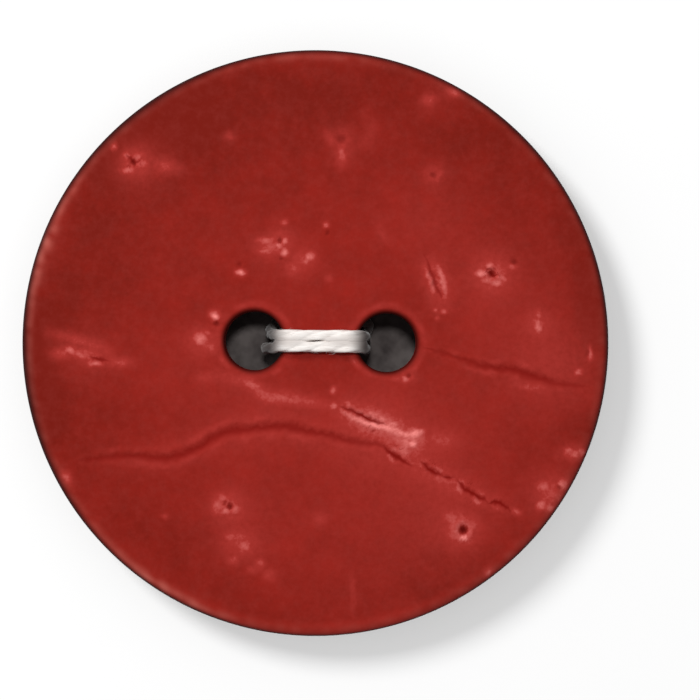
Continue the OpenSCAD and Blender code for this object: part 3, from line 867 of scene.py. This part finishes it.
# The stitch, in millimetres, in the frame of the pair of holes
thread = {
    "thick": 0.54,
    "gap": 0.02,
    "backRoom": 0.05,
    "lipRoom": 0.03,
    "knotRoom": 0.08,
    "knotY": 1.35,
    "perSpan": 12,              # steps of the smoothed route between two of its points
    "step": 0.05,               # between the rings of its surface
    "sides": 36,
    "seed": 5,
    "plies": 3,
    "lead": 3.3,                # length of one turn of the plies
    "groove": 0.2,              # depth of the grooves between the plies, as a share of the radius
    "lobe": 0.8,                # power that rounds the plies
    "full": 0.98,               # the plies' outside, as a share of the strand's
    "rough": 0.01,              # random unevenness of the radius
    "swell": ((0.03, 2.3, 0), (0.02, 5.9, 1)),      # waves of the radius: share, turn per millimetre, start
    "wander": (0.015, 1.9, 0.37),                   # sideways: amount, and turns of its two waves
    "tailLength": 0.3,          # of a cut tail, where the plies open
    "tailWide": 0.25,
    "tailGroove": 2.5,
    "tailTip": (-0.08, 0.1),
    "lieFrom": (-0.1, 0.2),     # heights from the face's middle between which the strands come to lie on it
    "edgeToneAndHighlight": 0.03,               # how far the pair lies off the holes' line there
    "press": (0.92, 1.35),      # half widths there, away from the other strand and towards it
    "flat": (1.04, 1.07),       # half heights
    "power": (4, 8),            # how square
    "innerFrom": (-0.1, 0.5),   # turns towards the other strand between which the inner section takes over
    "creaseShadeFrom": (-0.3, 0.9),  # and the painted shade of the crease
    "grooveOuter": 1.1,         # depth of the grooves there, and how much of it the inner side loses
    "grooveLost": 0.7,
    "slitX": -0.25,             # where the strands part
    "slitHalf": 0.6,
    "unshadedX": -0.12,            # middle of the length over the face that has no painted shade
    "unshadedHalf": (1.3, 2.35),   # from where to where the painted shade sets in
    "holeShadeRise": (0.9, 1.4),   # above these heights the shade is painted all round
    "holeShadeSide": (-0.4, 0.2),  # and lower down on its upper side alone
    "fibreAlong": 2.2,          # the fibres' pattern along the strand and round it
    "fibreRound": 3.4,
    "hairs": 260,
    "hairSteps": 6,
    "hairsAbove": 0.9,          # none lower down, behind the button
    "hairEnds": 5,              # nor in so many rings at the ends
    "hairRoot": 0.44,           # where they start, as a share of the thickness
    "hairLength": (0.12, 0.4),
    "hairLean": (0.3, 0.9),
    "hairBend": 0.55,
    "hairRadius": 0.007,
    "hairTip": 0.05,            # share of the radius that is left at the point
    "hairFloor": 0.05,          # least height
}

# One side of the reef knot, from its standing part round its bight to its tail: along and across the holes'
# line, then the layer, 0 against the back and 1 below
knotBight = [
    (-2.0, -0.33, 0.9), (-1.6, -0.29, 1), (-1.1, -0.31, 0.85), (-0.6, -0.42, 0.25), (0, -0.66, 0),
    (0.6, -0.92, 0.25), (1.0, -1.0, 0.8), (1.35, -0.8, 1), (1.6, -0.35, 1), (1.6, 0.35, 1), (1.35, 0.8, 1),
    (1.0, 1.0, 0.8), (0.6, 0.92, 0.25), (0, 0.66, 0), (-0.6, 0.42, 0.25), (-1.1, 0.31, 0.85), (-1.6, 0.29, 1),
    (-2.2, 0.34, 0.8), (-2.8, 0.5, 0.5), (-3.3, 0.75, 0.3),
]


def threadRoute():
    # Points given one by one, as the solid has them: tail, knot, up the left hole, over the face, down the
    # right hole, along the back, up and over once more, down the right hole, under itself, knot and tail
    lay = thread["thick"] / 2 + thread["gap"]
    side = thread["thick"] / 2 + thread["gap"] / 2
    height, hollow, lip = button["height"], button["hollowDepth"], button["lipRound"]
    onFace, onBack = height + lay, hollow - lay - thread["backRoom"]
    midBore = (height + hollow) / 2
    faceLip, backLip = height - lip, hollow + lip
    lipReach = lip + lay + thread["lipRoom"]
    boreX = button["holeApart"] / 2 - button["holeRadius"] - lip + thread["lipRoom"] + lipReach
    knotZ, knotStep = hollow - lay - thread["knotRoom"], thread["thick"] + 1.5 * thread["knotRoom"]

    def overLip(end, y, degrees):
        # A point of the arc round a lip at the left end, -1, or the right end, 1
        a = math.radians(degrees)
        return (end * (boreX - lipReach * (1 - math.cos(a))), y, faceLip + lipReach * math.sin(a))

    def facePass(y, slack):
        # One pass over the face, with some slack as it comes up
        return [
            (-boreX - slack, y * (1 + slack / 2), midBore - 0.1),
            (-boreX - slack * 0.4, y * (1 + slack / 4), faceLip - 0.05),
            *[overLip(-1, y, a) for a in (50, 80)], (0, y, onFace), *[overLip(1, y, a) for a in (80, 50, 20)],
            (boreX, y, midBore + 0.3), (boreX, y, backLip)]

    leftBight = [(x, thread["knotY"] + y, knotZ - knotStep * z) for x, y, z in knotBight]
    rightBight = [(-x, thread["knotY"] + y, knotZ - knotStep * (1 - z)) for x, y, z in knotBight]
    return np.array([
        *leftBight[::-1],
        (-2.3, 0.7, 0.8), (-2.4, 0.45, backLip - 0.25), (-2.36, 0.34, backLip + 0.15),
        *facePass(side, 0.2),
        (boreX - 0.05, side, backLip - 0.35), (boreX - 0.2, 0.26, onBack + 0.04), (1.5, 0.15, onBack),
        (1.05, -0.02, onBack), (0.6, -0.16, onBack), (0, -side, onBack), (0.6 - boreX, -side, onBack),
        (0.2 - boreX, -side, onBack + 0.04), (-boreX - 0.1, -side, backLip - 0.33),
        (-boreX - 0.42, -0.36, backLip),
        *facePass(-side, 0.5),
        (boreX + 0.02, -0.34, 1.2), (boreX + 0.04, -0.34, 0.85), (boreX + 0.04, -0.1, 0.5),
        (boreX + 0.06, 0.32, 0.42), (boreX + 0.15, 0.7, 0.54), (boreX + 0.14, 0.95, 0.8),
        *rightBight,
    ], float)


def evenly(line, step):
    # Points at even spacing along a line, and their distance from its start
    run = np.concatenate([[0], np.cumsum(np.linalg.norm(np.diff(line, axis=0), axis=1))])
    at = np.linspace(0, run[-1], int(run[-1] / step) + 1)
    return np.stack([np.interp(at, run, line[:, i]) for i in range(3)], -1), at


def carriedFrames(line):
    # Two directions square to the line, carried along it with the least turning
    along = np.gradient(line, axis=0)
    along /= np.linalg.norm(along, axis=1)[:, None]
    first = np.zeros_like(line)
    v = np.array([0.0, 0.0, 1.0])
    for i, t in enumerate(along):
        v = v - (v @ t) * t
        v = v / np.linalg.norm(v)
        first[i] = v
    return first, np.cross(along, first)


# White cotton, in screen colours. Noises and ranges are given as for the coat
threadLook = {
    "light": (254, 249, 245),
    "shade": (224, 215, 209),
    "shadeRange": (0.4, 0.75),
    "creaseShade": (206, 197, 192),      # painted shade between the strands
    "holeShade": (66, 58, 56),         # painted shade where it goes down into the holes
    "fibre": (1.0, 4.0, 0.6),       # this one runs along the strand
    "cloud": (1200.0, 3.0, 0.55),
    "fibreShare": 0.7,
    "cloudShare": 0.5,
    "grainStrength": 0.7,
    "grainDepth": 0.03,             # in millimetres
    "roughness": 0.85,
    "specular": 0.2,
    "sheen": 0.25,
    "sheenRoughness": 0.5,
}


def threadMaterial():
    look = threadLook
    material, tree, shader = newMaterial("white_cotton")
    strand = addNode(tree, "ShaderNodeAttribute", attribute_name="strand").outputs["Vector"]
    fibre = noise(tree, strand, *look["fibre"])
    cloud = noise(tree, objectPlace(tree), *look["cloud"])
    share = calc(tree, "ADD", calc(tree, "MULTIPLY", fibre, look["fibreShare"]),
                 calc(tree, "MULTIPLY", cloud, look["cloudShare"]))
    colour = mixColour(tree, spread(tree, share, *look["shadeRange"]), look["shade"], look["light"])
    # painted shade in the crease between the strands and towards the holes
    for name in ("creaseShade", "holeShade"):
        colour = mixColour(tree, mask(tree, name), colour, look[name])
    bump = addNode(tree, "ShaderNodeBump", {
        "Height": fibre, "Strength": look["grainStrength"], "Distance": look["grainDepth"] * mm})
    shader.inputs["Roughness"].default_value = look["roughness"]
    shader.inputs["Specular IOR Level"].default_value = look["specular"]
    shader.inputs["Sheen Weight"].default_value = look["sheen"]
    shader.inputs["Sheen Roughness"].default_value = look["sheenRoughness"]
    tree.links.new(colour, shader.inputs["Base Color"])
    tree.links.new(bump.outputs[0], shader.inputs["Normal"])
    return material


def hairTubes(line, first, second, rng):
    # Loose fibres: thin three-sided tubes that leave the strand at a slant, bend back along it and end in a
    # point. The way out is t - bend t^2, and the way along is half t and half t^2
    count, steps = thread["hairs"], thread["hairSteps"]
    ends = thread["hairEnds"]
    at = rng.choice(np.flatnonzero(line[:, 2] > thread["hairsAbove"])[ends:-ends], count)
    turn = rng.uniform(0, 2 * np.pi, count)[:, None]
    out = np.cos(turn) * first[at] + np.sin(turn) * second[at]
    along = np.cross(first[at], second[at]) * rng.choice([-1.0, 1.0], count)[:, None]
    length = rng.uniform(*thread["hairLength"], count)[:, None, None]
    lean = rng.uniform(*thread["hairLean"], count)[:, None, None]
    t = np.linspace(0, 1, steps)[None, :, None]
    path = (line[at] + out * thread["thick"] * thread["hairRoot"])[:, None] + length * (
        out[:, None] * (t - thread["hairBend"] * t ** 2) * lean + along[:, None] * (0.5 * t + 0.5 * t ** 2))
    path[..., 2] = np.maximum(path[..., 2], thread["hairFloor"])
    a = np.arange(3) * 2 * np.pi / 3
    ring = np.cos(a)[None, :, None] * out[:, None] + np.sin(a)[None, :, None] * np.cross(out, along)[:, None]
    radius = thread["hairRadius"] * (1 + thread["hairTip"] - t)
    points = path[:, :, None] + radius[..., None] * ring[:, None]
    faces = np.concatenate([quads(steps, 3, i * steps * 3, closed=True) for i in range(count)])
    start = np.arange(count)[:, None] * steps * 3
    caps = [*(start + [2, 1, 0]), *(start + (steps - 1) * 3 + [0, 1, 2])]
    return points.reshape(-1, 3), faces, caps


def makeThread():
    # Strand: rings round the route, radius = full (1 - groove + groove |cos 1.5 (a - twist)|^lobe), which
    # gives three rounded plies with narrow grooves that wind round it; the plies open at the cut tails
    line, at = evenly(smoothLine(threadRoute(), thread["perSpan"]), thread["step"])
    lieFrom, lieTo = thread["lieFrom"]
    onTop = fade(line[:, 2], button["height"] + lieFrom, button["height"] + lieTo)
    amount, quick, slow = thread["wander"]
    line[:, 1] += amount * np.sin(at * quick) * np.sin(at * slow + 1)
    outward = np.sign(line[:, 1])[:, None]
    line[:, 1] += thread["edgeToneAndHighlight"] * onTop
    first, second = carriedFrames(line)
    rng = np.random.default_rng(thread["seed"])
    sides, count = thread["sides"], len(at)
    a = np.linspace(0, 2 * np.pi, sides, endpoint=False)
    twist = -2 * np.pi * at / thread["lead"]
    lobe = np.abs(np.cos(thread["plies"] / 2 * (a[None, :] - twist[:, None]))) ** thread["lobe"]
    tail = np.exp(-np.minimum(at, at[-1] - at) / thread["tailLength"])[:, None]
    groove = thread["groove"] * (1 + thread["tailGroove"] * tail)
    swell = sum((share * np.sin(at * turn + start) for share, turn, start in thread["swell"]), 1)[:, None]
    full = thread["thick"] / 2 * thread["full"]
    radius = full * swell * (1 + thread["tailWide"] * tail - groove * (1 - lobe))
    radius *= 1 + thread["rough"] * rng.standard_normal(radius.shape)
    radius *= fade(np.minimum(at, at[-1] - at), *thread["tailTip"])[:, None]
    ring = np.cos(a)[None, :, None] * first[:, None] + np.sin(a)[None, :, None] * second[:, None]

    # Side by side on the face the two strands press each other square: the ring grows to a superellipse,
    # |y / press|^n + |up / flat|^n = 1, wider and squarer towards the other strand, but less where they part
    inward = -outward * ring[..., 1]
    up2 = np.maximum(1 - inward ** 2, 0)
    outer, inner = [(np.abs(inward / wide) ** n + (up2 / high ** 2) ** (n / 2)) ** (-1 / n)
                    for wide, high, n in zip(thread["press"], thread["flat"], thread["power"])]
    parted = np.exp(-((line[:, 0] - thread["slitX"]) / thread["slitHalf"]) ** 2)
    share = (1 - parted)[:, None] * fade(inward, *thread["innerFrom"])
    cut = groove * (1 - lobe) * (thread["grooveOuter"] - thread["grooveLost"] * share)
    square = (outer + share * (inner - outer)) * (1 - cut)
    radius += onTop[:, None] * (thread["thick"] / 2 * square - radius)
    # painted shade in the crease where the two strands meet on the face
    creaseShade = (onTop * (1 - parted))[:, None] * fade(inward, *thread["creaseShadeFrom"])
    points = (line[:, None] + radius[..., None] * ring).reshape(-1, 3)
    faces = quads(count, sides, 0, closed=True)
    caps = [np.arange(sides)[::-1], (count - 1) * sides + np.arange(sides)]
    strand = np.stack(np.broadcast_arrays(
        thread["fibreAlong"] * at[:, None],
        thread["fibreRound"] * np.cos(a), thread["fibreRound"] * np.sin(a)), -1)

    # The strand and its hairs as one mesh, with painted shade towards both holes
    hairPoints, hairFaces, hairCaps = hairTubes(line, first, second, rng)
    none = np.zeros(len(hairPoints))
    allPoints = np.vstack([points, hairPoints])
    # painted shade: darker towards both holes and down inside them
    holeShade = fade(np.abs(allPoints[:, 0] - thread["unshadedX"]), *thread["unshadedHalf"])
    upper = np.concatenate([ring[..., 2].ravel(), none])
    holeShade *= np.maximum(fade(allPoints[:, 2], *thread["holeShadeRise"]), fade(upper, *thread["holeShadeSide"]))
    allPoints[:, :2] = fromPair(allPoints[:, 0], allPoints[:, 1])
    shift = len(points)
    piece = newMesh("thread_stitch", allPoints,
                    [*faces, *caps, *(hairFaces + shift), *[c + shift for c in hairCaps]])
    layer = piece.data.attributes.new("strand", "FLOAT_VECTOR", "POINT")
    along = np.vstack([strand.reshape(-1, 3), 0 * hairPoints])
    layer.data.foreach_set("vector", along.astype(np.float32).ravel())
    setMask(piece, "holeShade", holeShade)
    setMask(piece, "creaseShade", np.concatenate([creaseShade.ravel(), none]))
    piece.data.materials.append(threadMaterial())
    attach(piece, "root")
    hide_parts("thread")
    print("thread:", round(at[-1], 1), "mm long,", len(allPoints), "points, open edges", openEdges(piece))
    return piece


# Floor, light and camera
photo = {"size": 700, "x": 315.42, "y": 343.08, "radius": 292.9}     # the button's outline, in pixels
studio = {
    "lens": 150.0,
    "sensor": 36.0,
    "floorSize": 1200.0,
    "floor": (250, 250, 250),
    "ground": (68, 62, 61),     # what the holes look on to: a dark disc under the button, painted shade for the holes
    "groundLight": (104, 97, 95),
    "groundNoise": (700.0, 3.0, 0.55),
    "groundRange": (0.35, 0.65),
    "groundRadius": 6.0,
    "groundLift": 0.02,         # off the floor
    "groundSides": 64,
    "world": 0.27,
    "clip": (0.001, 10.0),
}

# Lamps: direction, distance, width, share of the light on a level surface, and what takes the light
lamps = {
    "over": {"way": (0.0, 0.26, 1.0), "far": 400.0, "wide": 60.0, "share": 0.45, "on": "button"},
    "overFloor": {"way": (0.0, 0.0, 1.0), "far": 400.0, "wide": 60.0, "share": 0.45, "on": "floor"},
    "key": {"way": (-0.72, 0.69, 1.0), "far": 400.0, "wide": 130.0, "share": 0.36, "on": "all"},
}


def stagePiece(name, points, faces, colour, light=None):
    # A matt piece of the stage, in one colour or clouded between two
    piece = newMesh(name, points, faces)
    material, tree, shader = newMaterial(name)
    shader.inputs["Base Color"].default_value = linear(*colour)
    shader.inputs["Roughness"].default_value = 1.0
    shader.inputs["Specular IOR Level"].default_value = 0.0
    if light:
        cloud = spread(tree, noise(tree, objectPlace(tree), *studio["groundNoise"]), *studio["groundRange"])
        tree.links.new(mixColour(tree, cloud, colour, light), shader.inputs["Base Color"])
    piece.data.materials.append(material)
    return piece


def makeFloor():
    # A square sheet, and a small dark disc just above it under the button, painted shade seen through the
    # holes
    half = studio["floorSize"] / 2
    corners = np.array([(-half, -half, 0), (half, -half, 0), (half, half, 0), (-half, half, 0)])
    floor = stagePiece("pale_floor", corners, np.array([[0, 1, 2, 3]]), studio["floor"])
    sides = studio["groundSides"]
    a = np.linspace(0, 2 * np.pi, sides, endpoint=False)
    circle = studio["groundRadius"] * np.stack([np.cos(a), np.sin(a)], -1)
    disc = withHeight(circle, studio["groundLift"] + 0 * a)
    ground = stagePiece("hole_shade_disc", disc, [np.arange(sides)], studio["ground"], studio["groundLight"])
    print("floor: a pale sheet with a dark ground under the button")
    return floor, ground


def lightOnly(light, pieces):
    # The lamp lights these pieces alone
    group = bpy.data.collections.new(light.name)
    for piece in pieces:
        group.objects.link(piece)
    light.light_linking.receiver_collection = group


def makeLight(onButton, onFloor):
    # An even white world and disc lamps. Power = share pi^2 far^2 / cos (slope from upright), at which a lamp
    # gives a level white surface its share of full white
    world = bpy.data.worlds.new("studio")
    bpy.context.scene.world = world
    world.use_nodes = True
    background = world.node_tree.nodes["Background"]
    background.inputs["Color"].default_value = (1, 1, 1, 1)
    background.inputs["Strength"].default_value = studio["world"]
    for name, lamp in lamps.items():
        way = np.array(lamp["way"]) / np.linalg.norm(lamp["way"])
        far = lamp["far"] * mm
        data = bpy.data.lights.new(name, "AREA")
        data.shape = "DISK"
        data.size = lamp["wide"] * mm
        data.energy = lamp["share"] * math.pi ** 2 * far ** 2 / way[2]
        light = bpy.data.objects.new(name, data)
        light.location = way * far
        light.rotation_euler = light.location.to_track_quat("Z", "Y").to_euler()
        bpy.context.scene.collection.objects.link(light)
        if lamp["on"] != "all":
            lightOnly(light, onButton if lamp["on"] == "button" else onFloor)
    print("light:", len(lamps), "lamps")


def makeCamera():
    # Straight above, so that the button's outline falls where the photo has it
    perPixel = button["radius"] / photo["radius"]
    halfView = photo["size"] / 2 * perPixel
    away = halfView / (studio["sensor"] / 2 / studio["lens"])
    outline = button["height"] - button["domeRise"] - button["faceRound"]
    data = bpy.data.cameras.new("camera")
    data.lens, data.sensor_width = studio["lens"], studio["sensor"]
    data.clip_start, data.clip_end = studio["clip"]
    camera = bpy.data.objects.new("camera", data)
    camera.location = ((photo["size"] / 2 - photo["x"]) * perPixel * mm,
                       (photo["y"] - photo["size"] / 2) * perPixel * mm, (outline + away) * mm)
    bpy.context.scene.collection.objects.link(camera)
    bpy.context.scene.camera = camera
    print("camera:", round(away), "mm above the button")


makeCamera()
shellPiece = makeButton()
threadPiece = makeThread()
floorPiece, holeShadePiece = makeFloor()
makeLight([shellPiece, threadPiece, holeShadePiece], [floorPiece])
bpy.context.scene.view_settings.view_transform = "Standard"
print("scene made")
